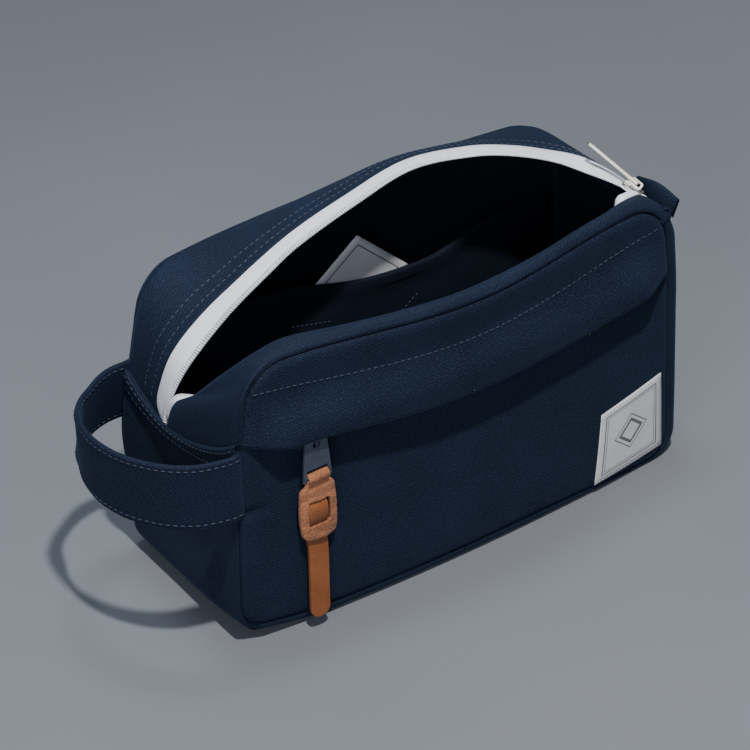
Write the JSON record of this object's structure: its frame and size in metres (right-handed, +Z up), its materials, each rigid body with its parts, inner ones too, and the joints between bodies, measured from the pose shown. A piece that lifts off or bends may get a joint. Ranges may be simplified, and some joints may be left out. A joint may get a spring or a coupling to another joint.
{
  "type": "shaving kit bag",
  "caption": "Soft zip-top wash bag standing open: bowed cloth body, end loop handle, zipped front pocket under a flap with a leather pull.",
  "frame": {"origin": "middle of the base cloth, on its underside, halfway between the two ends and the two faces", "axes": "+X along the bag from the handle end to the slider end, +Y from the pocket face to the back, +Z up"},
  "size_m": [0.2842, 0.1129, 0.1619],
  "materials": {
    "navy_twill": "woven polyester twill",
    "navy_lining": "plain woven lining",
    "white_tape": "knitted zip tape",
    "white_coil": "nylon coil",
    "zip_metal": "champagne plated",
    "navy_zip_tape": "knitted zip tape",
    "navy_coil": "nylon coil",
    "navy_coated_metal": "satin coating",
    "tan_leather": "vegetable tanned",
    "label_cloth": "damask woven"
  },
  "bodies": {
    "bag": {"back_panel": "navy_twill", "back_rim": "navy_twill", "pocket_front_panel": "navy_twill", "pocket_flap": "navy_twill", "base_gusset": "navy_twill", "left_join_band": "navy_twill", "rear_lip_left_end": "navy_twill", "rear_lip_right_end": "navy_twill", "front_lip_left_end": "navy_twill", "front_lip_right_end": "navy_twill", "front_rim": "navy_twill", "handle_sewn_ends": "navy_twill", "lining_back": "navy_lining", "lining_front": "navy_lining", "lining_gusset": "navy_lining", "pocket_back_panel": "navy_lining", "inner_pocket": "navy_lining", "inner_pocket_hem": "navy_lining", "main_zip_tape_ends": "white_tape", "main_zip_joined_tape": "white_tape", "main_zip_coil_ends": "white_coil", "main_zip_joined_coil": "white_coil", "main_zip_stop": "zip_metal", "pocket_zip_stops": "zip_metal", "pocket_zip_coil": "navy_coil", "pocket_zip_tape_upper": "navy_zip_tape", "pocket_zip_tape_lower": "navy_zip_tape", "front_label": "label_cloth", "inner_label": "label_cloth"},
    "rear_lip": {"rear_lip_cloth": "navy_twill", "rear_zip_tape": "white_tape", "rear_zip_coil": "white_coil"},
    "front_lip": {"front_lip_cloth": "navy_twill", "front_zip_tape": "white_tape", "front_zip_coil": "white_coil"},
    "main_slider": {"main_slider_body": "zip_metal"},
    "main_pull": {"main_pull": "zip_metal"},
    "pocket_slider": {"pocket_slider_body": "navy_coated_metal", "pocket_pull_link": "zip_metal"},
    "pocket_tab": {"pocket_pull_tab": "navy_coated_metal"},
    "leather_pull": {"leather_pull": "tan_leather"},
    "handle": {"handle_strap": "navy_twill"},
    "end_tab": {"end_tab": "navy_twill"}
  },
  "joints": [
    {"name": "rear_lip_fold", "type": "hinge", "parent": "bag", "child": "rear_lip", "pos_m": [0, 0.05, 0.1405], "axis": [-1, 0, 0], "range_deg": [-5, 12]},
    {"name": "front_lip_fold", "type": "hinge", "parent": "bag", "child": "front_lip", "pos_m": [0, -0.0363, 0.137], "axis": [1, 0, 0], "range_deg": [0, 90]},
    {"name": "main_slider_slide", "type": "slide", "parent": "bag", "child": "main_slider", "axis": [0.3587, -0.7876, -0.501], "range_m": [0, 0.007]},
    {"name": "main_pull_hinge", "type": "hinge", "parent": "main_slider", "child": "main_pull", "pos_m": [0.10889, -0.0263, 0.13933], "axis": [0.6006, 0.6056, -0.522], "range_deg": [0, 100]},
    {"name": "pocket_slider_slide", "type": "slide", "parent": "bag", "child": "pocket_slider", "axis": [1, 0, 0], "range_m": [0, 0.163]},
    {"name": "pocket_tab_hinge", "type": "hinge", "parent": "pocket_slider", "child": "pocket_tab", "pos_m": [-0.0815, -0.0516, 0.0966], "axis": [-1, 0, 0], "range_deg": [0, 30]},
    {"name": "leather_pull_hinge", "type": "hinge", "parent": "pocket_tab", "child": "leather_pull", "pos_m": [-0.0815, -0.0516, 0.0794], "axis": [-1, 0, 0], "range_deg": [-2, 60]},
    {"name": "handle_swing", "type": "hinge", "parent": "bag", "child": "handle", "pos_m": [-0.1175, 0, 0.0855], "axis": [0, 1, 0], "range_deg": [-20, 20]},
    {"name": "end_tab_flex", "type": "hinge", "parent": "bag", "child": "end_tab", "pos_m": [0.1152, -0.036, 0.1272], "axis": [0, 1, 0], "range_deg": [-8, 35]}
  ]
}
